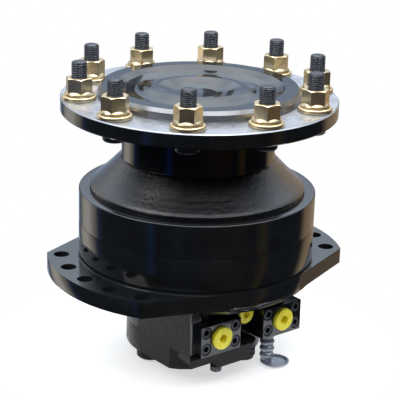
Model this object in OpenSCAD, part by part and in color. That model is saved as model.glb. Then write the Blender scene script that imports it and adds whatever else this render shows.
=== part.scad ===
// Radial piston wheel motor: wheel flange with ten studs, conical bearing support,
// cam ring with ten roller pistons, two-lobed chassis plate, rear cover with two
// flanged ports, and a small multi-disc parking brake behind it.
// The origin is the centre of the chassis plate's rear face; +Z is the shaft axis
// towards the wheel, +X runs through the middle of one lobe, the ports face -Y.

/* [Wheel flange] */
// Outer diameter of the wheel flange
flange_d = 384; // [340:1:420]
// Thickness of the wheel flange
flange_t = 20.9; // [14:0.1:30]
// Pitch circle diameter of the wheel studs
stud_pcd = 335; // [275:5:335]
// Thread diameter of the wheel studs
stud_d = 22; // [18:1:24]
// Number of wheel studs
stud_n = 10; // [5:1:12]
// Length of stud above the flange face
stud_up = 52.7; // [40:0.1:70]
// Diameter of the pilot that centres the wheel
pilot_d = 280; // [220:1:281]
// Height of the pilot above the flange face
pilot_h = 14.7; // [6:0.1:20]
// Hexagon across flats of the wheel nuts
nut_af = 33; // [27:0.5:36]

/* [Motor body] */
// Outer diameter of the cam ring and of the bearing support's rim
body_d = 332.4; // [300:0.2:360]
// Height of the cam ring
cam_h = 47.4; // [40:0.2:60]
// Height of the bearing support's straight rim
rim_h = 45.7; // [30:0.1:60]
// Outer diameter of the bearing support's neck
neck_d = 214; // [200:1:230]
// Height of the flange face above the chassis plate's rear face
face_z = 250.9; // [240:0.1:280]

/* [Pistons] */
// Number of pistons
piston_n = 10; // [10]
// Number of cam lobes
lobe_n = 8; // [8]
// Piston diameter
piston_d = 38; // [34:0.5:40]
// Roller diameter
roller_d = 24; // [20:0.5:26]
// Full stroke of a piston on the cam
stroke = 15; // [10:0.5:16]

/* [Chassis plate] */
// Thickness of the chassis plate
plate_t = 22; // [16:0.5:30]
// Outer radius of the two lobes
lobe_r = 211; // [200:0.5:225]
// Half angle of a lobe at its corners
lobe_half = 32.26; // [28:0.02:36]
// Radius of the circle the chassis holes sit on
hole_pcr = 190.9; // [180:0.1:200]
// Angle between neighbouring chassis holes
hole_step = 15; // [12:0.5:15]
// Diameter of the chassis holes
hole_d = 22; // [17:0.5:24]

/* [Ports] */
// Distance of each port block's middle from the centre plane
port_x = 55.4; // [50:0.2:65]
// Distance of the port faces from the shaft axis
port_y = 129; // [120:0.5:140]
// Height of the port centres
port_z = -52; // [-60:0.5:-45]
// Bore of the two main ports
port_bore = 19; // [13:0.5:25]

/* [Hidden] */
$fn = 96;
eps = 0.01;
gap = 0.3;            // clearance between parts that turn or slide past each other
fit = 0.05;           // radial clearance of guided fits

// levels along the shaft
cover_top = plate_t + 3.5;
cam_top = cover_top + cam_h;
rim_top = cam_top + rim_h;
flange_z = face_z - flange_t;
neck_top = flange_z - 2;
neck_foot = 165;
cam_mid = cover_top + cam_h / 2;

// wheel side
flange_r = flange_d / 2;
pilot_r = pilot_d / 2;
stud_r = stud_d / 2;
stud_pr = stud_pcd / 2;
stud_turn = 10.03;
stud_head_r = 16;
stud_head_h = 10;
collar_r = 23.5;
collar_h = 6;
skirt_r = 20;
skirt_h = 6.3;
hex_h = 18.4;
nut_z = face_z + collar_h;
nut_bore_r = stud_r + 0.15;
knurl_r = stud_r + 0.7;   // pressed into the flange
knurl_l = 14;
shank_r = stud_r - 0.3;

// bearings, one size for both ends
brg_or = 90;
brg_ir = 58;
brg_h = 38;
brg_mid_r = 75;
brg_tilt = 15;
brg_roller_r = 7.5;
brg_roller_l = 24;
brg_roller_n = 22;
front_brg_z = 178;
rear_brg_z = 92;
shoulder_r = 82;
seal_or = 94;
seal_ir = 70;
seal_z = 216.5;

// cam, cylinder block and pistons
body_r = body_d / 2;
roller_r = roller_d / 2;
roller_l = 28;
path_r = 114.5;                       // mean radius of the roller centres' path
swing = stroke / 2;
park_r = path_r - swing - 2.5;        // roller centre with the piston parked
block_r = 108;
block_z = cover_top + 2;
block_h = cam_h - 3.4;
piston_r = piston_d / 2;
piston_foot = 70;
piston_lap = 1.5;
port_hole_r = 5;
spline_r = 46;
spline_n = 24;
spline_depth = 3;

// rear cover
ring_r = 168.1;
spigot_r = 167.5;
spigot_h = 3;
cone_low = -13;
cone_low_r = 154.5;
core_r = 97;
core_low = -75.6;
wall_x = 100.5;        // outer face of the wall beside the left port block
wall_y = 119;
wall_in = 60;
pad_w = 69.2;
pad_top = -31;
pad_deep = 42;
port_dx = 50.8;
port_dz = 23.8;
port_screw_r = 5;
port_head_r = 8;
port_head_h = 10;
recess_y = 87;
mid_boss_y = 113;
mid_boss_z = -37;
mid_boss_r = 16;
mid_bore_r = 8;
rise_y = 74;          // where the passages rise from the ports to the distributor
gauge_r = 7;
gauge_head_r = 9.6;
gauge_x = 56;
gauge_z = pad_top - 0.2;
gauge_y = 117;
screw_n = 16;
screw_pr = 142.5;
screw_r = 7;
screw_head_r = 10.3;
screw_head_h = 14;
screw_spread = 8;
screw_top = 100;
case_low = -110;                      // rear face of the brake housing
case_square = 90;      // how far the housing's square side reaches towards the ports
case_right = 10;
shelf_low = -85.5;
front_low = -98;       // rear face of the block under the shelf
front_left = 58;
case_front = 127;
case_left = 106.5;
boss_x = 1;
boss_y = 109;
boss_r = 18;
boss_low = -102;
corner_cut = [[-97, -69], [-89, -79], [-74, -90]];

// distributor and brake
dist_r = [78, 70, 62];
dist_z = [8, -10, -28];
brake_r = 74;
brake_top = -47;
brake_floor = -104;
brake_shaft_r = 20;
brake_shaft_z = -99;
brake_shaft_l = 160;
brake_hub_z = -76;
brake_hub_h = 26;
disc_t = 3;
disc_n = 3;
disc_gap = 0.3;
disc_z = core_low + 7;
disc_or = 66;
stator_ir = 44;
brake_hub_r = 33;
bpiston_z = -88;
bpiston_h = 17;
bscrew_r = 5;
bscrew_pr = 85;
bscrew_n = 8;
bscrew_head_r = 8;
bscrew_head_h = 8;
shelf_screw = [-53, -117];
cap_x = -77;           // cap under the brake housing
cap_r = 20;
cap_stub_r = 10;

// foot under the second port block
foot_x = 46.5;
foot_y = -110;
bellow_r = 10.5;
neck_r = 7.5;
bellow_n = 4;
bellow_h = 10.2;
pad_x = 55.5;
pad_y = -117.4;
pad_z = -123.5;
foot_r = 20.8;

module around(n, r, turn = 0) {
    for (i = [0 : n - 1]) rotate(turn + i * 360 / n) translate([r, 0, 0]) children();
}

// a turned part: list of [radius, height] pairs
module turned(pts) {
    rotate_extrude() polygon(pts);
}

module tube(ro, ri, h) {
    difference() {
        cylinder(r = ro, h = h);
        translate([0, 0, -1]) cylinder(r = ri, h = h + 2);
    }
}

// straight-sided spline teeth standing on a round core
module teeth(r, depth, n, h, slack = 0) {
    w = PI * r / n - slack;
    for (i = [0 : n - 1]) rotate(i * 360 / n)
        translate([r - depth - 1, -w / 2, 0]) cube([depth + 1, w, h]);
}

// --- wheel side ---------------------------------------------------------------

module drive_shaft() {
    t = face_z;
    p = face_z + pilot_h;
    color("#2b2f33") difference() {
        union() {
            turned([[0, block_z], [spline_r - spline_depth, block_z], [spline_r - spline_depth, 76],
                [55.5, 76], [55.5, rear_brg_z], [brg_ir - fit - 1, rear_brg_z],
                [brg_ir - fit, rear_brg_z + 1],
                [brg_ir - fit, front_brg_z + brg_h + 0.2], [seal_ir, front_brg_z + brg_h + 0.2],
                [seal_ir, neck_top - 1], [98, neck_top - 1 + 1.5], [98, flange_z],
                [flange_r - 1.5, flange_z], [flange_r, flange_z + 1.5],
                [flange_r, t - 1.5], [flange_r - 1.5, t], [pilot_r + 3.2, t],
                [pilot_r + 2.4, t - 0.8], [pilot_r + 0.8, t - 0.8], [pilot_r, t],
                [pilot_r, p - 5], [pilot_r - 4, p], [117, p],
                [104, p - 5], [90, p - 7.5], [78, p - 6.5], [68, p - 3.5],
                [58, p - 3], [48, p - 6], [38, p - 9.5], [24, p - 11], [0, p - 11.5]]);
            translate([0, 0, block_z])
                teeth(spline_r, spline_depth, spline_n, block_h + 2, slack = 0.4);
        }
        // stud holes
        around(stud_n, stud_pr, stud_turn)
            translate([0, 0, flange_z - 1]) cylinder(r = knurl_r + 0.03, h = flange_t + 2);
        // blind bore that takes the brake shaft
        translate([0, 0, 20]) cylinder(r = brake_shaft_r + gap, h = 45);
    }
}

module wheel_studs() {
    top = face_z + stud_up;
    free = nut_z + skirt_h + hex_h + 0.4;   // where the free end starts, above the nut
    color("#1c1c1e") around(stud_n, stud_pr, stud_turn) {
        turned([[0, flange_z - stud_head_h], [stud_head_r - 2, flange_z - stud_head_h],
            [stud_head_r, flange_z - stud_head_h + 2], [stud_head_r, flange_z - 0.01],
            [knurl_r, flange_z - 0.01], [knurl_r, flange_z + knurl_l], [shank_r, flange_z + knurl_l],
            [shank_r, free], [stud_r, free],
            [stud_r, top - 2.5], [stud_r - 2.5, top], [0, top]]);
    }
}

module wheel_nuts() {
    color("#b99a52") around(stud_n, stud_pr, stud_turn) difference() {
        union() {
            translate([0, 0, nut_z]) turned([[0, 0], [skirt_r - 1, 0], [skirt_r, 1.2],
                [skirt_r - 0.6, 3.4], [skirt_r - 2.2, 5.2], [skirt_r - 3.2, skirt_h], [0, skirt_h]]);
            intersection() {
                translate([0, 0, nut_z + skirt_h - 1.5]) rotate(30)
                    cylinder(d = nut_af / cos(30), h = hex_h + 1.5, $fn = 6);
                translate([0, 0, nut_z]) turned([[0, 0], [22, 0], [22, skirt_h + hex_h - 2.6],
                    [nut_af / 2 - 0.6, skirt_h + hex_h], [0, skirt_h + hex_h]]);
            }
        }
        translate([0, 0, nut_z - 1]) cylinder(r = nut_bore_r, h = skirt_h + hex_h + 2);
    }
}

module nut_collars() {
    color("#c2a45c") around(stud_n, stud_pr, stud_turn) translate([0, 0, face_z])
        turned([[nut_bore_r + 0.4, 0], [collar_r - 1, 0], [collar_r, 1], [collar_r, 4],
            [collar_r - 0.7, 5.4], [collar_r - 2.2, collar_h], [nut_bore_r + 0.4, collar_h]]);
}

// --- bearing support, seal and bearings ---------------------------------------

module bearing_support() {
    z0 = cam_top;
    nr = neck_d / 2;
    color("#17191b") difference() {
        turned([[120, z0], [body_r, z0], [body_r, rim_top - 1.2], [body_r - 1.2, rim_top],
            [150.4, rim_top], [149.4, rim_top - 1.6], [148.2, rim_top - 1.2],
            [149.4, rim_top + 1], [150.4, rim_top + 3.4], [149.8, rim_top + 6],
            [147, rim_top + 9.2],
            [139, 134.5], [131, 141.8], [123.5, 149.4], [117.5, 155.6], [113.2, 160],
            [110, 163.4], [108.4, neck_foot - 0.4], [nr, neck_foot + 0.6],
            [nr, neck_top - 1.5], [nr - 1.5, neck_top],
            [seal_or + fit, neck_top], [seal_or + fit, seal_z], [brg_or + fit, seal_z],
            [brg_or + fit, front_brg_z], [shoulder_r, front_brg_z],
            [shoulder_r, rear_brg_z + brg_h], [brg_or + fit, rear_brg_z + brg_h],
            [brg_or + fit, rear_brg_z - 2], [98, rear_brg_z - 4], [120, rear_brg_z - 10]]);
        // tapped holes for the assembly screws
        screw_places() translate([0, 0, z0 - 1]) cylinder(r = screw_r + 0.15, h = 30);
        // groove for the sealing ring
        translate([0, 0, z0 - eps]) tube(131, 126, 2.4);
    }
}

module shaft_seal() {
    color("#26262a") translate([0, 0, seal_z + 0.5]) turned([[seal_or, 0], [seal_or, 9.5],
        [seal_ir + 6, 9.5], [seal_ir + gap, 8], [seal_ir + 1.5, 5], [seal_ir + 4, 2],
        [seal_ir + 4, 0]]);
}

// race radius at height z measured from the bearing's middle
function race(z, side) = brg_mid_r + side * (brg_roller_r + gap) / cos(brg_tilt) + z * tan(brg_tilt);

module brg_cup() {
    h = brg_h / 2;
    turned([[race(-h, 1), -h], [brg_or, -h], [brg_or, h], [race(h, 1), h]]);
}

module brg_cone() {
    h = brg_h / 2;
    turned([[brg_ir, -h], [race(-h, -1), -h], [race(13.8, -1), 13.8], [race(14.8, -1) + 4, 14.8],
        [race(h, -1) + 4, h], [brg_ir, h]]);
}

module brg_place(extra = 0) {
    around(brg_roller_n, brg_mid_r) rotate([0, brg_tilt, 0])
        translate([0, 0, -brg_roller_l / 2 - extra])
            cylinder(r = brg_roller_r + extra, h = brg_roller_l + 2 * extra);
}

module brg_cage() {
    h = 15.5;
    difference() {
        turned([[race(-h, 0) - 1.2, -h], [race(-h, 0) + 1.2, -h],
            [race(h, 0) + 1.2, h], [race(h, 0) - 1.2, h]]);
        brg_place(extra = gap);
    }
}

// the front bearing opens towards the wheel, the rear one towards the chassis
module front_place() {
    translate([0, 0, front_brg_z + brg_h / 2]) children();
}
module rear_place() {
    translate([0, 0, rear_brg_z + brg_h / 2]) mirror([0, 0, 1]) children();
}

module front_bearing_cup() { color("#9aa0a6") front_place() brg_cup(); }
module front_bearing_cone() { color("#a2a8ae") front_place() brg_cone(); }
module front_bearing_rollers() { color("#c8ccd0") front_place() brg_place(); }
module front_bearing_cage() { color("#77706a") front_place() brg_cage(); }
module rear_bearing_cup() { color("#9aa0a6") rear_place() brg_cup(); }
module rear_bearing_cone() { color("#a2a8ae") rear_place() brg_cone(); }
module rear_bearing_rollers() { color("#c8ccd0") rear_place() brg_place(); }
module rear_bearing_cage() { color("#77706a") rear_place() brg_cage(); }

module bearing_nut() {
    h = 10;
    color("#5a5f64") translate([0, 0, rear_brg_z - h - 0.1]) difference() {
        turned([[55.6, 0], [71, 0], [72.5, 1.5], [72.5, h - 1.5], [71, h], [55.6, h]]);
        // spanner slots
        around(6, 72.5) translate([-5, -4, -1]) cube([8, 8, h + 2]);
    }
}

// --- cam ring, cylinder block and pistons ---------------------------------------

// roller centre path and the cam surface one roller radius outside it
function path(a) = path_r + swing * cos(lobe_n * a);
function path_slope(a) = -swing * lobe_n * sin(lobe_n * a);
function cam_point(a, off) = let (r = path(a), s = path_slope(a), n = sqrt(r * r + s * s))
    [r * cos(a) + off * (r * cos(a) + s * sin(a)) / n,
     r * sin(a) + off * (r * sin(a) - s * cos(a)) / n];

module cam_ring() {
    steps = 192;
    color("#17191b") difference() {
        translate([0, 0, cover_top]) cylinder(r = body_r, h = cam_h);
        translate([0, 0, cover_top - 1]) linear_extrude(cam_h + 2)
            polygon([for (i = [0 : steps - 1]) cam_point(i * 360 / steps, roller_r + gap)]);
        screw_places() translate([0, 0, cover_top - 1]) cylinder(r = screw_r + 0.5, h = cam_h + 2);
        // fine line left between the two bands
        translate([0, 0, cam_top - 1.2]) difference() {
            cylinder(r = body_r + 1, h = 2);
            translate([0, 0, -1]) cylinder(r = body_r - 0.8, h = 4);
        }
    }
}

module cylinder_block() {
    color("#8c9196") difference() {
        translate([0, 0, block_z]) turned([[spline_r + gap, 0], [block_r - 1.5, 0], [block_r, 1.5],
            [block_r, block_h - 1.5], [block_r - 1.5, block_h], [spline_r + gap, block_h]]);
        // bores for the pistons, and the feed hole from each bore to the rear face
        for (i = [0 : piston_n - 1]) rotate(i * 360 / piston_n) {
            translate([piston_foot - 4, 0, cam_mid]) rotate([0, 90, 0])
                cylinder(r = piston_r + fit, h = 60);
            translate([piston_foot - 8, 0, block_z - 1]) cylinder(r = port_hole_r, h = block_h / 2 + 1);
            translate([piston_foot - 8, 0, cam_mid]) rotate([0, 90, 0])
                cylinder(r = port_hole_r, h = 6);
        }
    }
    color("#8c9196") difference() {
        translate([0, 0, block_z]) tube(spline_r + gap + 0.5, spline_r - spline_depth + gap, block_h);
        translate([0, 0, block_z - 1]) teeth(spline_r + gap, spline_depth + 2, spline_n, block_h + 2);
    }
}

module piston(i) {
    color("#b3b7bb") rotate(i * 360 / piston_n) translate([0, 0, cam_mid]) difference() {
        rotate([0, 90, 0]) rotate_extrude() polygon([[0, piston_foot], [piston_r - 1, piston_foot],
            [piston_r, piston_foot + 1], [piston_r, piston_foot + 6], [piston_r - 1.4, piston_foot + 6],
            [piston_r - 1.4, piston_foot + 9], [piston_r, piston_foot + 9],
            [piston_r, park_r + piston_lap - 3], [piston_r - 3, park_r + piston_lap],
            [0, park_r + piston_lap]]);
        // cradle for the roller
        translate([park_r, 0, -piston_r - 1]) cylinder(r = roller_r + gap, h = 2 * piston_r + 2);
        translate([park_r, -roller_r - gap + 0.8, -piston_r - 1])
            cube([roller_r, 2 * (roller_r + gap) - 1.6, 2 * piston_r + 2]);
    }
}

module roller(i) {
    h = roller_l / 2;
    color("#d4d8dc") rotate(i * 360 / piston_n) translate([park_r, 0, cam_mid])
        turned([[0, -h], [roller_r - 1, -h], [roller_r, 1 - h], [roller_r, h - 1],
            [roller_r - 1, h], [0, h]]);
}

// --- distributor -----------------------------------------------------------------

module distributor() {
    top = block_z - gap;
    color("#9da2a6") difference() {
        turned([[brake_shaft_r + 4, dist_z[2] - 6], [dist_r[2], dist_z[2] - 6],
            [dist_r[2], dist_z[1]], [dist_r[1], dist_z[1]], [dist_r[1], dist_z[0]],
            [dist_r[0], dist_z[0]], [dist_r[0], top], [brake_shaft_r + 4, top]]);
        // kidney feeds in the face, two for every cam lobe
        around(2 * lobe_n, piston_foot - 8, 11.25)
            translate([0, 0, dist_z[1] + 9]) cylinder(r = port_hole_r, h = 60);
        // collecting grooves
        for (k = [1, 2]) translate([0, 0, dist_z[k] + 6])
            tube(dist_r[k] + 1, dist_r[k] - 5, 7);
        // seal grooves
        for (k = [0 : 2]) translate([0, 0, dist_z[k] + 1]) tube(dist_r[k] + 1, dist_r[k] - 3, 3.4);
    }
}

module distributor_seals() {
    color("#202024") for (k = [0 : 2]) translate([0, 0, dist_z[k] + 1.2])
        tube(dist_r[k] + fit, dist_r[k] - 2.8, 3);
}

// --- rear cover --------------------------------------------------------------------

module screw_places() {
    for (k = [0 : lobe_n - 1]) for (s = [-1, 1])
        rotate((k + 0.5) * 360 / lobe_n + s * screw_spread) translate([screw_pr, 0, 0]) children();
}

// outline of the chassis plate: round middle, straight edges that run tangent
// from it to the four corners, and an arc across the end of each lobe
module plate_body() {
    xc = lobe_r * cos(lobe_half);
    yc = lobe_r * sin(lobe_half);
    at = lobe_half + acos(ring_r / lobe_r);
    xt = ring_r * cos(at);
    yt = ring_r * sin(at);
    far = lobe_r + 20;
    intersection() {
        cylinder(r = lobe_r, h = plate_t);
        linear_extrude(plate_t) polygon([[xt, yt], [xc, yc], [far, yc], [far, -yc], [xc, -yc],
            [xt, -yt], [-xt, -yt], [-xc, -yc], [-far, -yc], [-far, yc], [-xc, yc], [-xt, yt]]);
    }
    cylinder(r = ring_r, h = plate_t);
}

module chassis_holes(r, h) {
    for (side = [0, 180]) for (k = [-2 : 2]) rotate(side + k * hole_step)
        translate([hole_pcr, 0, -1]) cylinder(r = r, h = h);
}

module port_screw_places() {
    for (s = [-1, 1]) for (dx = [-1, 1]) for (dz = [-1, 1])
        translate([s * port_x + dx * port_dx / 2, -port_y, port_z + dz * port_dz / 2])
            rotate([-90, 0, 0]) children();
}

// the square-shouldered core behind the plate, joined to the round middle
module core(low, high) {
    translate([0, 0, low]) cylinder(r = core_r, h = high - low);
    translate([-wall_x, -wall_y, low]) cube([wall_x - wall_in, wall_y, high - low]);
    translate([-core_r, -recess_y, low]) cube([2 * core_r, recess_y, high - low]);
}

module rear_cover() {
    color("#131517") difference() {
        union() {
            plate_body();
            // raised ring, joint line and spigot
            turned([[0, -1], [0, cover_top], [body_r - 3, cover_top], [body_r - 3, plate_t + 1.7],
                [ring_r, plate_t + 1.7], [ring_r, 0], [spigot_r, 0], [spigot_r, -spigot_h],
                [cone_low_r, cone_low], [0, cone_low]]);
            core(core_low, cone_low + 1);
            // port blocks
            for (s = [-1, 1]) translate([s * port_x - pad_w / 2, -port_y, core_low])
                cube([pad_w, pad_deep + 2, pad_top - core_low]);
            // boss of the middle port
            translate([0, -recess_y + 2, mid_boss_z]) rotate([90, 0, 0])
                cylinder(r = mid_boss_r, h = mid_boss_y - recess_y + 2);
        }
        chassis_holes(hole_d / 2, plate_t + 2);
        // bore for the distributor
        translate([0, 0, dist_z[2] - 8]) cylinder(r = dist_r[2] + 0.2, h = 60);
        translate([0, 0, dist_z[1]]) cylinder(r = dist_r[1] + 0.2, h = 60);
        translate([0, 0, dist_z[0]]) cylinder(r = dist_r[0] + 0.2, h = 60);
        // brake space
        translate([0, 0, -49]) cylinder(r = brake_shaft_r + 6, h = 20);
        translate([0, 0, core_low - 1]) cylinder(r = brake_r + 0.2, h = brake_top - core_low + 1);
        // assembly screws with sunk heads
        screw_places() {
            translate([0, 0, cone_low - 1]) cylinder(r = screw_r + 0.5, h = 60);
            translate([0, 0, cone_low - 16]) cylinder(r = screw_head_r + 0.6, h = 16 + screw_head_h);
        }
        // main ports and their passages to the distributor
        for (s = [-1, 1]) {
            translate([s * port_x, -port_y - 1, port_z]) rotate([-90, 0, 0])
                cylinder(r = port_bore / 2, h = port_y - rise_y + 3);
            translate([s * port_x, -rise_y, port_z]) cylinder(r = 8, h = 44 + s * 9);
            rotate(atan2(-rise_y, s * port_x)) translate([dist_r[2] - 4, 0, port_z + 43 + s * 9])
                rotate([0, 90, 0]) cylinder(r = 5.5, h = 32);
            translate([s * gauge_x, -gauge_y, pad_top - 14]) cylinder(r = gauge_r, h = 16);
            translate([s * gauge_x, -gauge_y, gauge_z]) cylinder(r = gauge_head_r + 0.8, h = 12);
        }
        // middle port
        translate([0, -mid_boss_y - 1, mid_boss_z]) rotate([-90, 0, 0]) cylinder(r = mid_bore_r, h = 34);
        // port flange screws with sunk heads
        port_screw_places() {
            translate([0, 0, -1]) cylinder(r = port_head_r + 0.8, h = port_head_h + 1.6);
            cylinder(r = port_screw_r + 0.15, h = 34);
        }
        // tapped holes for the brake housing's screws
        around(bscrew_n, bscrew_pr, 22.5) translate([0, 0, core_low - 1])
            cylinder(r = bscrew_r + 0.15, h = 19);
        translate([shelf_screw[0], shelf_screw[1], core_low - 1]) cylinder(r = bscrew_r + 0.15, h = 12);
        // groove for the sealing ring
        translate([0, 0, cover_top - 2.4]) tube(131, 126, 3);
    }
}

module socket_screw(r, head_r, head_h, length, af) {
    difference() {
        union() {
            turned([[0, -head_h], [head_r - 0.8, -head_h], [head_r, 0.8 - head_h], [head_r, 0], [0, 0]]);
            translate([0, 0, -eps]) cylinder(r = r, h = length);
        }
        translate([0, 0, -head_h - 1]) cylinder(d = af / cos(30), h = head_h * 0.55 + 1, $fn = 6);
    }
}

module assembly_screws() {
    seat = cone_low + screw_head_h;
    color("#3a3d40") screw_places() translate([0, 0, seat])
        socket_screw(screw_r, screw_head_r, screw_head_h - 0.5, screw_top - seat, 12);
}

module port_screws() {
    color("#202225") port_screw_places() translate([0, 0, port_head_h + 0.6])
        socket_screw(port_screw_r, port_head_r, port_head_h, 22, 8);
}

module port_plug(stub_r, head_r, head_h, af) {
    difference() {
        turned([[0, 16], [stub_r, 16], [stub_r, 0], [head_r, 0], [head_r, 0.8 - head_h],
            [head_r - 0.8, -head_h], [0, -head_h]]);
        translate([0, 0, -head_h - 1]) cylinder(d = af / cos(30), h = head_h + 5, $fn = 6);
    }
}

module port_plugs() {
    color("#f0dc28") for (s = [-1, 1]) translate([s * port_x, -port_y, port_z]) rotate([-90, 0, 0])
        port_plug(port_bore / 2 - 0.1, 16, 5.5, 12);
}

module middle_port_plug() {
    color("#f0dc28") translate([0, -mid_boss_y, mid_boss_z]) rotate([-90, 0, 0])
        port_plug(mid_bore_r - 0.1, 13, 3.5, 10);
}

module gauge_plugs() {
    color("#24272a") for (s = [-1, 1]) translate([s * gauge_x, -gauge_y, gauge_z]) difference() {
        union() {
            turned([[0, 0], [gauge_head_r, 0], [gauge_head_r, 2.2], [gauge_head_r - 0.8, 3], [0, 3]]);
            translate([0, 0, -8]) cylinder(r = gauge_r - 0.1, h = 8.5);
        }
        translate([0, 0, -3]) cylinder(d = 7 / cos(30), h = 8, $fn = 6);
    }
}

module front_oring() {
    color("#1b1b1d") translate([0, 0, cam_top + 0.1]) tube(130.8, 126.2, 2);
}

module rear_oring() {
    color("#1b1b1d") translate([0, 0, cover_top - 2.2]) tube(130.8, 126.2, 2);
}

// --- brake ---------------------------------------------------------------------------

module brake_housing() {
    color("#1d1e20") difference() {
        union() {
            translate([0, 0, case_low]) cylinder(r = core_r, h = core_low - case_low);
            // square side with its left corner cut away
            translate([0, 0, case_low]) linear_extrude(core_low - case_low)
                polygon(concat([[-core_r, 0]], corner_cut, [[case_right, -case_square], [case_right, 0]]));
            // shelf in front of and beside the port blocks, with a block under it
            translate([0, 0, shelf_low]) linear_extrude(core_low - shelf_low)
                polygon([[-case_left, -case_front], [-wall_x - 0.5, -wall_y], [-core_r, 1 - case_square],
                    [boss_x, 1 - case_square], [boss_x, -case_front]]);
            translate([-front_left, -case_front, front_low])
                cube([front_left + boss_x, case_front - case_square + 1, shelf_low - front_low + 1]);
            // ringed boss at the shelf's end
            translate([boss_x, -boss_y, 0]) turned([[0, boss_low], [16, boss_low], [16, -97.5],
                [boss_r, -97.5], [boss_r, -94], [16.2, -94], [16.2, -92], [boss_r, -92],
                [boss_r, -87], [16.2, -87], [16.2, -85], [boss_r, -85], [boss_r, core_low], [0, core_low]]);
        }
        translate([0, 0, brake_floor]) cylinder(r = brake_r + 0.2, h = 40);
        // screws with sunk heads
        around(bscrew_n, bscrew_pr, 22.5) translate([0, 0, case_low - 1]) {
            cylinder(r = bscrew_r + 0.4, h = 60);
            cylinder(r = bscrew_head_r + 0.4, h = bscrew_head_h + 1.5);
        }
        translate([shelf_screw[0], shelf_screw[1], case_low - 1]) cylinder(r = bscrew_r + 0.4, h = 60);
        translate([cap_x, 0, case_low - 1]) cylinder(r = cap_stub_r + 0.2, h = 5.3);
    }
}

module brake_screws() {
    color("#2f3235") {
        around(bscrew_n, bscrew_pr, 22.5) translate([0, 0, case_low + bscrew_head_h + 0.5])
            socket_screw(bscrew_r, bscrew_head_r, bscrew_head_h, 40, 8);
        translate([shelf_screw[0], shelf_screw[1], front_low])
            socket_screw(bscrew_r, bscrew_head_r, bscrew_head_h, 32, 8);
    }
}

module brake_shaft() {
    color("#8f959a") {
        translate([0, 0, brake_shaft_z]) cylinder(r = brake_shaft_r, h = brake_shaft_l);
        translate([0, 0, brake_hub_z]) tube(brake_hub_r, brake_shaft_r - 1, brake_hub_h);
    }
}

module brake_rotors() {
    color("#a58a5c") for (k = [0 : disc_n - 1])
        translate([0, 0, disc_z + k * 2 * (disc_t + disc_gap)])
            tube(disc_or, brake_hub_r + gap, disc_t);
}

module brake_stators() {
    color("#878d92") for (k = [0 : disc_n])
        translate([0, 0, disc_z + (2 * k - 1) * (disc_t + disc_gap)])
            tube(brake_r, stator_ir, disc_t);
}

module brake_piston() {
    color("#a9adb1") translate([0, 0, bpiston_z]) turned([[46, 0], [brake_r - 1, 0], [brake_r, 1],
        [brake_r, 10], [brake_r - 6, 11], [brake_r - 6, 15.3], [46, 15.3]]);
}

module brake_spring() {
    n = 3;
    pitch = (bpiston_z - brake_floor - 0.6) / n;
    color("#6d7276") for (k = [0 : n - 1]) translate([0, 0, brake_floor + 0.1 + k * pitch])
        if (k % 2 == 0) turned([[42, pitch - 2.6], [42, pitch - 0.1], [72, 2.5], [72, 0]]);
        else turned([[42, 0], [42, 2.5], [72, pitch - 0.1], [72, pitch - 2.6]]);
}

module brake_cap() {
    color("#1a1b1d") difference() {
        translate([cap_x, 0, case_low]) turned([[0, 4], [cap_stub_r, 4], [cap_stub_r, 0], [cap_r, 0],
            [cap_r, -9], [cap_r - 3, -12], [0, -12]]);
        translate([cap_x, 0, case_low - 13]) cylinder(d = 14 / cos(30), h = 8, $fn = 6);
    }
}

// --- foot ------------------------------------------------------------------------------

module foot_bellows() {
    color("#7d8287") translate([foot_x, foot_y, core_low - bellow_n * bellow_h]) {
        for (k = [0 : bellow_n - 1]) translate([0, 0, k * bellow_h])
            turned([[0, 0], [neck_r, 0], [bellow_r - 1, 2], [bellow_r, 4], [bellow_r, bellow_h - 4],
                [bellow_r - 1, bellow_h - 2], [neck_r, bellow_h], [0, bellow_h]]);
    }
}

module foot_pad() {
    low = core_low - bellow_n * bellow_h;
    color("#8b9196") {
        translate([pad_x, pad_y, pad_z]) turned([[0, -1.5], [foot_r - 5, -1.5], [foot_r, 2],
            [foot_r, 3.5], [foot_r - 1.6, 3.5], [foot_r - 6, 1.2], [0, 1.2]]);
        translate([foot_x, foot_y, pad_z]) cylinder(r = neck_r, h = low - pad_z);
    }
}

drive_shaft();
wheel_studs();
wheel_nuts();
nut_collars();
bearing_support();
shaft_seal();
front_bearing_cup();
front_bearing_cone();
front_bearing_rollers();
front_bearing_cage();
rear_bearing_cup();
rear_bearing_cone();
rear_bearing_rollers();
rear_bearing_cage();
bearing_nut();
cam_ring();
cylinder_block();
piston(0);  // piston_0
piston(1);  // piston_1
piston(2);  // piston_2
piston(3);  // piston_3
piston(4);  // piston_4
piston(5);  // piston_5
piston(6);  // piston_6
piston(7);  // piston_7
piston(8);  // piston_8
piston(9);  // piston_9
roller(0);  // roller_0
roller(1);  // roller_1
roller(2);  // roller_2
roller(3);  // roller_3
roller(4);  // roller_4
roller(5);  // roller_5
roller(6);  // roller_6
roller(7);  // roller_7
roller(8);  // roller_8
roller(9);  // roller_9
distributor();
distributor_seals();
rear_cover();
assembly_screws();
front_oring();
rear_oring();
port_screws();
port_plugs();
middle_port_plug();
gauge_plugs();
brake_housing();
brake_screws();
brake_shaft();
brake_rotors();
brake_stators();
brake_piston();
brake_spring();
brake_cap();
foot_bellows();
foot_pad();
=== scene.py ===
import bpy
import bmesh
import math
from mathutils import Vector, Matrix, noise


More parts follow.
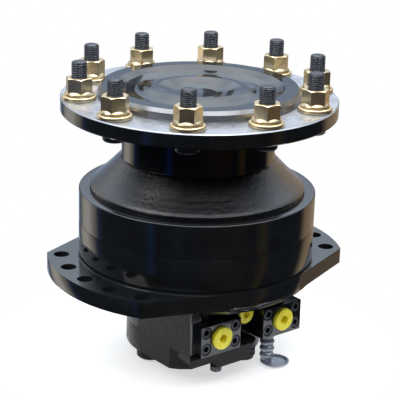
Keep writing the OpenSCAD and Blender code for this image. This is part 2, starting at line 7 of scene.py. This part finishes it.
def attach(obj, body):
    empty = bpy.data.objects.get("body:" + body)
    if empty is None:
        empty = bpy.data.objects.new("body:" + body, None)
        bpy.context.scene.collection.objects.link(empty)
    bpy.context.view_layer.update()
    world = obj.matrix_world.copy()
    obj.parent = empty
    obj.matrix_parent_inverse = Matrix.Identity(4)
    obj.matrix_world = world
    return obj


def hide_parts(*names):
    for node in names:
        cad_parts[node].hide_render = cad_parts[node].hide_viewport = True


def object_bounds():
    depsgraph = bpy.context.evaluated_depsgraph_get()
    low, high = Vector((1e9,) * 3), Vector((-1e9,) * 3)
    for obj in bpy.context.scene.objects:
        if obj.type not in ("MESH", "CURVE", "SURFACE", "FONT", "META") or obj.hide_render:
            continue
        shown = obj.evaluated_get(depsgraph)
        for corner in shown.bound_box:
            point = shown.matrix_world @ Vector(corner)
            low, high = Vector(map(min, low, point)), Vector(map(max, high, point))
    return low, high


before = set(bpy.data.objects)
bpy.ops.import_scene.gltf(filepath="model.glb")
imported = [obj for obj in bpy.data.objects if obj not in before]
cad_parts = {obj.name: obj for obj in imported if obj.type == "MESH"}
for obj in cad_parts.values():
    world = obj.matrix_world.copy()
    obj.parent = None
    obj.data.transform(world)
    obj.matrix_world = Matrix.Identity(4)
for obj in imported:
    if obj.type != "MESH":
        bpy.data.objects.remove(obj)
cad_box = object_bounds()
MM = 0.001
TAU = 2 * math.pi

# ---------------------------------------------------------------- dimensions, mm
CAM_TOP = 72.9
RIM_TOP = 118.6
FACE = 250.9
FLANGE_Z = 230.0
STUD_TOP = 303.6
STUD_PR = 167.5
STUD_TURN = 10.03
THREAD_PITCH = 2.5
FLOOR_R = 300.0
FLOOR_GAP = 0.5

# camera: degrees, metres, and the lens in mm on a 36 mm sensor
CAMERA_AZIMUTH = -39.15
CAMERA_ELEVATION = 18.967
CAMERA_ROLL = 1.636
CAMERA_SPOT = (-1.24841, -1.53343, 0.77693)
SENSOR = 36.0
LENS = 133.21692
SHIFT_X = 0.0080575
SHIFT_Y = 0.00092


# ---------------------------------------------------------------- materials
class Mat:
    """A principled material with small helpers for its node network."""

    def __init__(self, name, **sockets):
        self.m = bpy.data.materials.new(name)
        self.m.use_nodes = True
        self.t = self.m.node_tree
        self.n = self.t.nodes
        self.b = self.n["Principled BSDF"]
        self.co = self.n.new("ShaderNodeTexCoord").outputs["Object"]
        for k, v in sockets.items():
            self.b.inputs[k.replace("_", " ")].default_value = v

    def link(self, a, b):
        self.t.links.new(a, b)

    def noise(self, scale, detail=4.0, rough=0.5, distort=0.0, stretch=None):
        x = self.n.new("ShaderNodeTexNoise")
        x.inputs["Scale"].default_value = scale
        x.inputs["Detail"].default_value = detail
        x.inputs["Roughness"].default_value = rough
        x.inputs["Distortion"].default_value = distort
        src = self.co
        if stretch:
            mp = self.n.new("ShaderNodeMapping")
            mp.inputs["Scale"].default_value = stretch
            self.link(self.co, mp.inputs["Vector"])
            src = mp.outputs["Vector"]
        self.link(src, x.inputs["Vector"])
        return x.outputs["Fac"]

    def voronoi(self, scale, feature="F1"):
        x = self.n.new("ShaderNodeTexVoronoi")
        x.feature = feature
        x.inputs["Scale"].default_value = scale
        self.link(self.co, x.inputs["Vector"])
        return x.outputs["Distance"]

    def ramp(self, fac, stops):
        x = self.n.new("ShaderNodeValToRGB")
        e = x.color_ramp.elements
        while len(e) < len(stops):
            e.new(0.5)
        for k, (p, c) in enumerate(stops):
            e[k].position = p
            e[k].color = (*c, 1) if len(c) == 3 else c
        self.link(fac, x.inputs["Fac"])
        return x.outputs["Color"]

    def span(self, fac, lo, hi, a=0.0, b=1.0):
        x = self.n.new("ShaderNodeMapRange")
        x.inputs["From Min"].default_value = a
        x.inputs["From Max"].default_value = b
        x.inputs["To Min"].default_value = lo
        x.inputs["To Max"].default_value = hi
        self.link(fac, x.inputs["Value"])
        return x.outputs["Result"]

    def math(self, op, a, b):
        x = self.n.new("ShaderNodeMath")
        x.operation = op
        for k, v in enumerate((a, b)):
            if isinstance(v, (int, float)):
                x.inputs[k].default_value = v
            else:
                self.link(v, x.inputs[k])
        return x.outputs[0]

    def mix(self, fac, a, b):
        x = self.n.new("ShaderNodeMix")
        x.data_type = "RGBA"
        ia, ib = x.inputs[6], x.inputs[7]
        for s, v in ((ia, a), (ib, b)):
            if isinstance(v, tuple):
                s.default_value = (*v, 1)
            else:
                self.link(v, s)
        self.link(fac, x.inputs[0])
        return x.outputs[2]

    def bump(self, height, strength, distance, prev=None):
        x = self.n.new("ShaderNodeBump")
        x.inputs["Strength"].default_value = strength
        x.inputs["Distance"].default_value = distance
        self.link(height, x.inputs["Height"])
        if prev:
            self.link(prev, x.inputs["Normal"])
        self.link(x.outputs["Normal"], self.b.inputs["Normal"])
        return x.outputs["Normal"]

    def edges(self, lo=0.52, hi=0.6):
        g = self.n.new("ShaderNodeNewGeometry")
        return self.span(g.outputs["Pointiness"], 0.0, 1.0, lo, hi)


def gloss_black(name, tint=(0.006, 0.007, 0.008), rough=(0.06, 0.16), peel=0.05):
    m = Mat(name, IOR=1.45)
    m.b.inputs["Coat Weight"].default_value = 0.35
    m.b.inputs["Coat Roughness"].default_value = 0.03
    dust = m.noise(38, 6, 0.6)
    m.link(m.ramp(dust, [(0.3, tint), (0.75, tuple(c * 2.2 for c in tint))]), m.b.inputs["Base Color"])
    m.link(m.span(m.noise(14, 5, 0.6), rough[0], rough[1], 0.3, 0.75), m.b.inputs["Roughness"])
    p = m.bump(m.noise(900, 2), peel, 0.00012)
    m.bump(m.noise(60, 3), 0.04, 0.0006, p)
    return m.m


def cast_black(name):
    m = Mat(name, IOR=1.5)
    m.b.inputs["Specular IOR Level"].default_value = 0.25
    m.b.inputs["Coat Weight"].default_value = 1.0
    m.b.inputs["Coat Roughness"].default_value = 0.05
    m.link(m.ramp(m.noise(90, 6, 0.7), [(0.3, (0.002, 0.0024, 0.003)), (0.8, (0.005, 0.006, 0.008))]),
           m.b.inputs["Base Color"])
    m.link(m.span(m.noise(260, 4, 0.6), 0.1, 0.3, 0.3, 0.7), m.b.inputs["Roughness"])
    p = m.bump(m.noise(950, 3, 0.6), 0.5, 0.0007)
    p = m.bump(m.voronoi(620), 0.3, 0.0005, p)
    m.link(p, m.b.inputs["Coat Normal"])
    return m.m


def satin_black(name):
    m = Mat(name, IOR=1.45)
    m.b.inputs["Specular IOR Level"].default_value = 0.16
    m.link(m.ramp(m.noise(30, 6, 0.6), [(0.3, (0.007, 0.0075, 0.008)), (0.8, (0.018, 0.018, 0.019))]),
           m.b.inputs["Base Color"])
    m.link(m.span(m.noise(120, 4), 0.22, 0.4, 0.3, 0.7), m.b.inputs["Roughness"])
    p = m.bump(m.noise(500, 4), 0.25, 0.0004)
    m.bump(m.noise(70, 3), 0.2, 0.0012, p)
    return m.m


def black_oxide(name):
    m = Mat(name, Metallic=0.85, IOR=1.6)
    m.link(m.ramp(m.noise(240, 5, 0.7), [(0.35, (0.03, 0.034, 0.042)), (0.7, (0.085, 0.09, 0.105))]),
           m.b.inputs["Base Color"])
    m.link(m.span(m.noise(320, 4), 0.3, 0.55, 0.3, 0.7), m.b.inputs["Roughness"])
    m.bump(m.noise(700, 3), 0.2, 0.0003)
    return m.m


def yellow_zinc(name):
    m = Mat(name, Metallic=0.92, IOR=1.5)
    base = m.ramp(m.noise(70, 3, 0.5, 0.6), [(0.28, (0.7, 0.59, 0.42)), (0.45, (0.72, 0.57, 0.34)),
                                             (0.58, (0.6, 0.51, 0.32)), (0.75, (0.68, 0.52, 0.42))])
    grime = m.span(m.noise(160, 4, 0.6), 0.0, 0.35, 0.55, 0.85)
    m.link(m.mix(grime, base, (0.22, 0.17, 0.1)), m.b.inputs["Base Color"])
    m.link(m.span(m.noise(120, 3), 0.27, 0.36, 0.3, 0.7), m.b.inputs["Roughness"])
    m.bump(m.noise(1500, 2), 0.03, 0.0001)
    return m.m


def bare_steel(name, tone=0.55, lo=0.2, hi=0.4):
    m = Mat(name, Metallic=1.0)
    worn = (tone * 0.85, tone * 0.87, tone * 0.9)
    bright = (tone, tone, tone * 1.02)
    m.link(m.ramp(m.noise(150, 5), [(0.3, worn), (0.7, bright)]), m.b.inputs["Base Color"])
    m.link(m.span(m.noise(400, 4), lo, hi, 0.3, 0.7), m.b.inputs["Roughness"])
    m.bump(m.noise(1200, 2), 0.1, 0.0002)
    return m.m


def yellow_plastic(name):
    m = Mat(name, IOR=1.47)
    m.b.inputs["Subsurface Weight"].default_value = 0.08
    m.b.inputs["Subsurface Scale"].default_value = 0.004
    m.link(m.ramp(m.noise(120, 4), [(0.3, (0.86, 0.74, 0.02)), (0.7, (0.95, 0.86, 0.05))]),
           m.b.inputs["Base Color"])
    m.link(m.span(m.noise(400, 3), 0.25, 0.4, 0.3, 0.7), m.b.inputs["Roughness"])
    m.bump(m.noise(600, 2), 0.1, 0.0002)
    return m.m


def rubber(name, tone=0.012):
    m = Mat(name, IOR=1.5)
    m.link(m.ramp(m.noise(200, 4), [(0.3, (tone, tone, tone)), (0.7, (tone * 2, tone * 2, tone * 2.1))]),
           m.b.inputs["Base Color"])
    m.link(m.span(m.noise(300, 4), 0.45, 0.65, 0.3, 0.7), m.b.inputs["Roughness"])
    m.bump(m.noise(900, 3), 0.15, 0.0003)
    return m.m


# Painted reflection: the blue-grey base colour of the foot bellows and pad stands in for the sky reflected in
# their black gloss paint.
def grey_gloss(name):
    m = Mat(name, IOR=1.5, Metallic=0.35)
    m.link(m.ramp(m.noise(60, 3), [(0.3, (0.2, 0.22, 0.26)), (0.7, (0.3, 0.32, 0.37))]),
           m.b.inputs["Base Color"])
    m.link(m.span(m.noise(200, 3), 0.1, 0.25, 0.3, 0.7), m.b.inputs["Roughness"])
    m.bump(m.noise(300, 3), 0.12, 0.0004)
    return m.m


def flange_satin(name):
    """Thin dark coat rubbed through to a grey sheen on the machined seating face."""
    m = Mat(name, Metallic=0.75, IOR=1.5)
    m.b.inputs["Anisotropic"].default_value = 0.3
    worn = m.noise(22, 6, 0.65)
    tones = [(0.3, (0.34, 0.355, 0.39)), (0.5, (0.38, 0.395, 0.43)), (0.72, (0.43, 0.445, 0.475))]
    m.link(m.ramp(worn, tones), m.b.inputs["Base Color"])
    m.link(m.span(m.noise(90, 5, 0.6), 0.24, 0.42, 0.3, 0.7), m.b.inputs["Roughness"])
    m.bump(m.noise(500, 3), 0.12, 0.0003)
    return m.m


M = {
    "gloss": gloss_black("gloss_black_paint"),
    "cast": cast_black("cast_black_paint"),
    "satin": satin_black("satin_black_paint"),
    "oxide": black_oxide("black_oxide_steel"),
    "zinc": yellow_zinc("yellow_zinc_plate"),
    "steel": bare_steel("ground_steel"),
    "band": bare_steel("turned_pilot_steel", 0.27, 0.3, 0.42),
    "race": bare_steel("bearing_steel", 0.65, 0.08, 0.2),
    "flange": flange_satin("rubbed_flange_face"),
    "yellow": yellow_plastic("yellow_plastic"),
    "rubber": rubber("seal_rubber"),
    "grey": grey_gloss("grey_gloss"),
    "bronze": bare_steel("bronze_lining", 0.45, 0.3, 0.5),
}

by_node = {
    "drive_shaft": "gloss", "bearing_support": "gloss", "cam_ring": "gloss", "rear_cover": "gloss",
    "wheel_studs": "oxide", "assembly_screws": "oxide", "port_screws": "oxide", "gauge_plugs": "oxide",
    "brake_screws": "oxide", "wheel_nuts": "zinc", "nut_collars": "zinc", "brake_housing": "satin",
    "brake_cap": "satin", "port_plugs": "yellow", "middle_port_plug": "yellow", "shaft_seal": "rubber",
    "front_oring": "rubber", "rear_oring": "rubber", "distributor_seals": "rubber", "foot_bellows": "grey",
    "foot_pad": "grey", "brake_rotors": "bronze",
}
for name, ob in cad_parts.items():
    mat = M[by_node.get(name, "race" if "bearing" in name or "roller" in name else "steel")]
    if not ob.material_slots:
        ob.data.materials.append(mat)
    for s in ob.material_slots:
        s.material = mat


# ---------------------------------------------------------------- shapes
def soften(ob, width, segments=2, angle=32):
    """Weld the tessellated part and round its edges by width, mm."""
    w = ob.modifiers.new("weld", "WELD")
    w.merge_threshold = 1e-6
    bv = ob.modifiers.new("bevel", "BEVEL")
    bv.width = width * MM
    bv.segments = segments
    bv.limit_method = "ANGLE"
    bv.angle_limit = math.radians(angle)
    bv.harden_normals = False
    return ob


def rounded(pts, r, n=3, least=18):
    """The profile with each corner sharper than least degrees turned on radius r, mm."""
    out = []
    for k, p in enumerate(pts):
        if k in (0, len(pts) - 1):
            out.append(p)
            continue
        a, c, b = Vector(pts[k - 1]), Vector(p), Vector(pts[k + 1])
        u, v = a - c, b - c
        turn = math.pi - u.angle(v) if u.length > 1e-6 and v.length > 1e-6 else 0
        if math.degrees(turn) < least:
            out.append(p)
            continue
        cut = min(r * math.tan(turn / 2), u.length * 0.45, v.length * 0.45)
        s, e = c + u.normalized() * cut, c + v.normalized() * cut
        for i in range(n + 1):
            t = i / n
            out.append(tuple((1 - t) ** 2 * s + 2 * t * (1 - t) * c + t * t * e))
    return out


def lathe(name, pts, seg, mats, pick=None, closed=False, move=None, sharp=28):
    """A turned mesh from (radius, height) pairs in mm. pick(i) gives the material of span i."""
    bm = bmesh.new()
    rings = []
    for r, z in pts:
        if r < 1e-6:
            rings.append([bm.verts.new((0, 0, z * MM))])
        else:
            ring = []
            for k in range(seg):
                t = TAU * k / seg
                co = Vector((r * math.cos(t), r * math.sin(t), z))
                if move:
                    co = move(co, r, z, t)
                ring.append(bm.verts.new(co * MM))
            rings.append(ring)
    spans = list(range(len(rings) - 1)) + ([len(rings) - 1] if closed else [])
    for i in spans:
        lo, hi = rings[i], rings[(i + 1) % len(rings)]
        for k in range(seg):
            j = (k + 1) % seg
            if len(lo) == 1 and len(hi) == 1:
                continue
            if len(lo) == 1:
                f = bm.faces.new((lo[0], hi[j], hi[k]))
            elif len(hi) == 1:
                f = bm.faces.new((lo[k], lo[j], hi[0]))
            else:
                f = bm.faces.new((lo[k], lo[j], hi[j], hi[k]))
            f.smooth = True
            f.material_index = pick(i) if pick else 0
    bmesh.ops.recalc_face_normals(bm, faces=bm.faces)
    for e in bm.edges:
        if len(e.link_faces) == 2 and e.calc_face_angle(0) > math.radians(sharp):
            e.smooth = False
    me = bpy.data.meshes.new(name)
    bm.to_mesh(me)
    bm.free()
    for m in mats:
        me.materials.append(m)
    ob = bpy.data.objects.new(name, me)
    bpy.context.scene.collection.objects.link(ob)
    return ob


def copies(ob, places):
    """Repeat ob's mesh at each (x, y, turn), mm, in one mesh."""
    bm = bmesh.new()
    src_me = ob.data
    for x, y, turn in places:
        was = len(bm.verts)
        bm.from_mesh(src_me)
        bm.verts.ensure_lookup_table()
        mat = Matrix.Translation((x * MM, y * MM, 0)) @ Matrix.Rotation(turn, 4, "Z")
        bmesh.ops.transform(bm, matrix=mat, verts=bm.verts[was:])
    bm.to_mesh(src_me)
    bm.free()
    return ob


def finished(ob, body, slot, *nodes):
    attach(ob, body)
    if nodes:
        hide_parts(*nodes)
    return ob


# wheel studs with rolled threads
stud = [(0, FLANGE_Z - 10), (14, FLANGE_Z - 10), (16, FLANGE_Z - 8), (16, FLANGE_Z - 0.02),
        (11, FLANGE_Z - 0.02), (10.9, FLANGE_Z + 4)]
stud = rounded(stud, 0.8)
z = FLANGE_Z + 24
stud.append((10.9, z - 1))
while z < STUD_TOP - 2.6:
    stud.append((11, z))
    z += THREAD_PITCH / 6
stud += [(11, STUD_TOP - 2.4), (10.4, STUD_TOP - 1.4), (9.3, STUD_TOP - 0.5), (8, STUD_TOP), (0, STUD_TOP)]


def thread(co, r, z, t):
    if z < FLANGE_Z + 23.5 or r < 10.2:
        return co
    phase = (z / THREAD_PITCH - t / TAU) % 1
    depth = 1.25 * min(1.0, (z - FLANGE_Z - 23.5) / 3) * abs(2 * phase - 1) ** 0.8
    k = (r - depth) / r
    return Vector((co.x * k, co.y * k, co.z))


studs = lathe("studs", stud, 40, [M["oxide"]], move=thread, sharp=60)
turns = [math.radians(STUD_TURN + 36 * k) for k in range(10)]
ring = [(STUD_PR * math.cos(t), STUD_PR * math.sin(t), t) for t in turns]
finished(copies(studs, ring), "shaft", "black_oxide", "wheel_studs")

# bearing support: machined rim and neck, sand-cast cone between them
outer = [(166.2, CAM_TOP), (166.2, RIM_TOP - 1.2), (165, RIM_TOP), (150.4, RIM_TOP),
         (149.4, 117), (148.2, 117.4)]
cone = [(148.2, 117.4), (149.4, 119.6), (150.4, 122), (149.8, 124.6), (147, 127.8),
        (139, 134.5), (131, 141.8),
        (123.5, 149.4), (117.5, 155.6), (113.2, 160), (110, 163.4), (108.4, 164.6)]
neck = [(107, 165.6), (107, 226.5), (105.5, 228), (94.05, 228), (94.05, 216.5), (90.05, 216.5), (90.05, 178),
        (82, 178), (82, 130), (90.05, 130), (90.05, 90), (98, 88), (120, 82), (120, CAM_TOP)]
fine = []
for p, q in zip(cone, cone[1:]):
    n = max(1, round(math.dist(p, q) / 1.1))
    fine += [(p[0] + (q[0] - p[0]) * i / n, p[1] + (q[1] - p[1]) * i / n) for i in range(n)]
fine.append(cone[-1])
rim = rounded(outer, 0.7)
first = len(rim) - 1
tail = rounded([cone[-1]] + neck, 0.6)[1:]
body = rim[:-1] + fine + tail
last = first + len(fine) - 1


def casting(co, r, z, t):
    if not (RIM_TOP + 0.4 < z < 165 and r > 108):
        return co
    fade = min(1.0, (z - RIM_TOP) / 4, (165.2 - z) / 3)
    h = 0.5 * noise.noise(co * 0.16) + 0.3 * noise.noise(co * 0.5) + 0.1 * noise.noise(co * 1.1)
    return co + Vector((math.cos(t) * 0.75, math.sin(t) * 0.75, 0.66)) * (h * fade * 0.3)


support = lathe("bearing_support_cast", body, 720, [M["gloss"], M["cast"]], closed=True, move=casting,
                pick=lambda i: 1 if first <= i < last else 0)
finished(support, "housing", "cast_black", "bearing_support")

# CAD parts with rounded edges
for name, width in (("rear_cover", 0.7), ("brake_housing", 0.9), ("wheel_nuts", 0.45), ("nut_collars", 0.4),
                    ("port_plugs", 0.5), ("middle_port_plug", 0.5), ("cam_ring", 0.35), ("port_screws", 0.35),
                    ("gauge_plugs", 0.3), ("brake_cap", 0.6), ("brake_screws", 0.35),
                    ("assembly_screws", 0.35)):
    soften(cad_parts[name], width)

# faces of the flange and pilot that differ from the paint around them
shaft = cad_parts["drive_shaft"]
shaft.data.materials.append(M["flange"])
shaft.data.materials.append(M["band"])
for poly in shaft.data.polygons:
    co = poly.center / MM
    r = math.hypot(co.x, co.y)
    if co.z > FACE - 1.2 and 140.5 < r < 191.5 and poly.normal.z > 0.4:
        poly.material_index = 1
    elif co.z > FACE and 136.5 < r < 140.3:
        poly.material_index = 2

# the cast underside of the rear cover is satin, its machined port blocks are gloss
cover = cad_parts["rear_cover"]
cover.data.materials.append(M["satin"])
for poly in cover.data.polygons:
    co = poly.center / MM
    if co.z < -0.1 and not (co.y < -96 and abs(co.x) > 18):
        poly.material_index = 1

# ---------------------------------------------------------------- camera, floor, light
azim = math.radians(CAMERA_AZIMUTH)
elev = math.radians(CAMERA_ELEVATION)
roll = math.radians(CAMERA_ROLL)
right = Vector((math.cos(azim), math.sin(azim), 0))
level = Vector((-math.sin(azim), math.cos(azim), 0))
fwd = level * math.cos(elev) - Vector((0, 0, 1)) * math.sin(elev)
up = right.cross(fwd)
rx = right * math.cos(roll) + up * math.sin(roll)
ux = up * math.cos(roll) - right * math.sin(roll)
cam = bpy.data.cameras.new("camera")
cam_ob = bpy.data.objects.new("camera", cam)
bpy.context.scene.collection.objects.link(cam_ob)
spot = Vector(CAMERA_SPOT)
cam_ob.matrix_world = Matrix(((rx.x, ux.x, -fwd.x, spot.x), (rx.y, ux.y, -fwd.y, spot.y),
                              (rx.z, ux.z, -fwd.z, spot.z), (0, 0, 0, 1)))
cam.sensor_width = SENSOR
cam.lens = LENS
cam.shift_x = SHIFT_X
cam.shift_y = SHIFT_Y
cam.clip_end = 60
bpy.context.scene.camera = cam_ob

floor_z = cad_box[0][2] - FLOOR_GAP * MM
floor_r = FLOOR_R * MM
me = bpy.data.meshes.new("floor")
disc = [(floor_r * math.cos(TAU * k / 96), floor_r * math.sin(TAU * k / 96), floor_z) for k in range(96)]
me.from_pydata(disc, [], [tuple(range(96))])
floor = bpy.data.objects.new("floor", me)
bpy.context.scene.collection.objects.link(floor)
fm = Mat("pale_floor", Roughness=0.75)
fm.link(fm.ramp(fm.noise(3, 3), [(0.3, (0.6, 0.6, 0.595)), (0.7, (0.63, 0.63, 0.625))]),
        fm.b.inputs["Base Color"])
fm.b.inputs["Emission Color"].default_value = (1, 1, 1, 1)
fm.b.inputs["Emission Strength"].default_value = 0.6
me.materials.append(fm.m)

world = bpy.data.worlds.new("studio")
bpy.context.scene.world = world
world.use_nodes = True
wt = world.node_tree
for n in list(wt.nodes):
    wt.nodes.remove(n)


def wn(kind, **props):
    n = wt.nodes.new(kind)
    for k, v in props.items():
        setattr(n, k, v)
    return n


def wmath(op, a, b=0.0):
    n = wn("ShaderNodeMath", operation=op)
    for k, v in enumerate((a, b)):
        if isinstance(v, (int, float)):
            n.inputs[k].default_value = v
        else:
            wt.links.new(v, n.inputs[k])
    return n.outputs[0]


def wramp(fac, stops):
    n = wn("ShaderNodeValToRGB")
    e = n.color_ramp.elements
    while len(e) < len(stops):
        e.new(0.5)
    for k, (p, c) in enumerate(stops):
        e[k].position = p
        e[k].color = (*c, 1)
    wt.links.new(fac, n.inputs["Fac"])
    return n.outputs["Color"]


def wmix(fac, a, b):
    n = wn("ShaderNodeMix", data_type="RGBA")
    wt.links.new(fac, n.inputs[0])
    wt.links.new(a, n.inputs[6])
    wt.links.new(b, n.inputs[7])
    return n.outputs[2]


# the room the paint reflects: low down it is dark with beige, brown and blue upright strips,
# higher up it is pale blue behind the object, and overhead it is white all round
tc = wn("ShaderNodeTexCoord")
turn = wn("ShaderNodeVectorRotate", rotation_type="Z_AXIS")
turn.inputs["Angle"].default_value = -azim
wt.links.new(tc.outputs["Generated"], turn.inputs["Vector"])
xyz = wn("ShaderNodeSeparateXYZ")
wt.links.new(turn.outputs["Vector"], xyz.inputs["Vector"])
# bearing round the object: 0 behind it, plus or minus pi in front
side = wmath("ARCTAN2", xyz.outputs["X"], xyz.outputs["Y"])
side = wmath("ADD", wmath("DIVIDE", side, TAU), 0.5)                # 0.5 behind, 0 and 1 in front
rise = wmath("ADD", wmath("MULTIPLY", xyz.outputs["Z"], 0.5), 0.5)  # 0 below, 0.5 level, 1 overhead
DARK = (0.012, 0.014, 0.018)
low = wramp(side, [(0.0, DARK), (0.1, DARK), (0.118, (0.015, 0.055, 0.21)), (0.135, DARK), (0.27, DARK),
                   (0.3, (0.03, 0.06, 0.14)), (0.312, (0.35, 0.32, 0.28)), (0.35, (0.8, 0.75, 0.68)),
                   (0.39, (0.45, 0.42, 0.38)), (0.42, (0.05, 0.06, 0.08)), (0.46, (0.2, 0.25, 0.34)),
                   (0.52, (0.2, 0.25, 0.34)), (0.55, (0.26, 0.2, 0.14)), (0.64, (0.36, 0.26, 0.16)),
                   (0.67, DARK), (0.79, DARK), (0.81, (0.12, 0.08, 0.032)), (0.84, DARK),
                   (0.88, (0.035, 0.026, 0.018)), (0.95, (0.03, 0.022, 0.018)), (1.0, DARK)])
high = wramp(side, [(0.0, DARK), (0.18, (0.06, 0.07, 0.09)), (0.32, (0.55, 0.65, 0.8)),
                    (0.5, (0.8, 0.9, 1.0)),
                    (0.68, (0.55, 0.65, 0.8)), (0.82, (0.06, 0.07, 0.09)), (1.0, DARK)])
top = wramp(side, [(0.0, (1.5, 1.56, 1.64)), (1.0, (1.5, 1.56, 1.64))])
to_high = wramp(rise, [(0.62, (0, 0, 0)), (0.74, (1, 1, 1))])
to_top = wramp(rise, [(0.8, (0, 0, 0)), (0.87, (1, 1, 1))])
room = wmix(to_top, wmix(to_high, low, high), top)
path = wn("ShaderNodeLightPath")
bg_room = wn("ShaderNodeBackground")
bg_room.inputs["Strength"].default_value = 1.7
wt.links.new(room, bg_room.inputs["Color"])
bg_white = wn("ShaderNodeBackground")
bg_white.inputs["Color"].default_value = (1, 1, 1, 1)
bg_white.inputs["Strength"].default_value = 1.0
both = wn("ShaderNodeMixShader")
wt.links.new(path.outputs["Is Camera Ray"], both.inputs[0])
wt.links.new(bg_room.outputs[0], both.inputs[1])
wt.links.new(bg_white.outputs[0], both.inputs[2])
out = wn("ShaderNodeOutputWorld")
wt.links.new(both.outputs[0], out.inputs["Surface"])


def area(name, loc, aim, size, power, colour=(1, 1, 1), size_y=None):
    li = bpy.data.lights.new(name, "AREA")
    li.energy = power
    li.color = colour
    li.size = size
    if size_y:
        li.shape = "RECTANGLE"
        li.size_y = size_y
    ob = bpy.data.objects.new(name, li)
    ob.location = loc
    d = Vector(aim) - Vector(loc)
    ob.rotation_euler = d.to_track_quat("-Z", "Y").to_euler()
    bpy.context.scene.collection.objects.link(ob)
    return ob


def around(dx, dy, dz):
    """A point dx to the right of the object, dy behind it and dz up, seen from the camera, metres."""
    return tuple(right * dx + level * dy + Vector((0, 0, dz)))


area("overhead", around(0.1, 0.2, 1.9), (0, 0, 0.1), 1.3, 34, (0.96, 0.98, 1.0))
area("left", around(-1.7, -0.9, 1.5), (0, 0, 0.05), 0.9, 14, (1, 0.98, 0.95))

sc = bpy.context.scene
sc.view_settings.view_transform = "Standard"
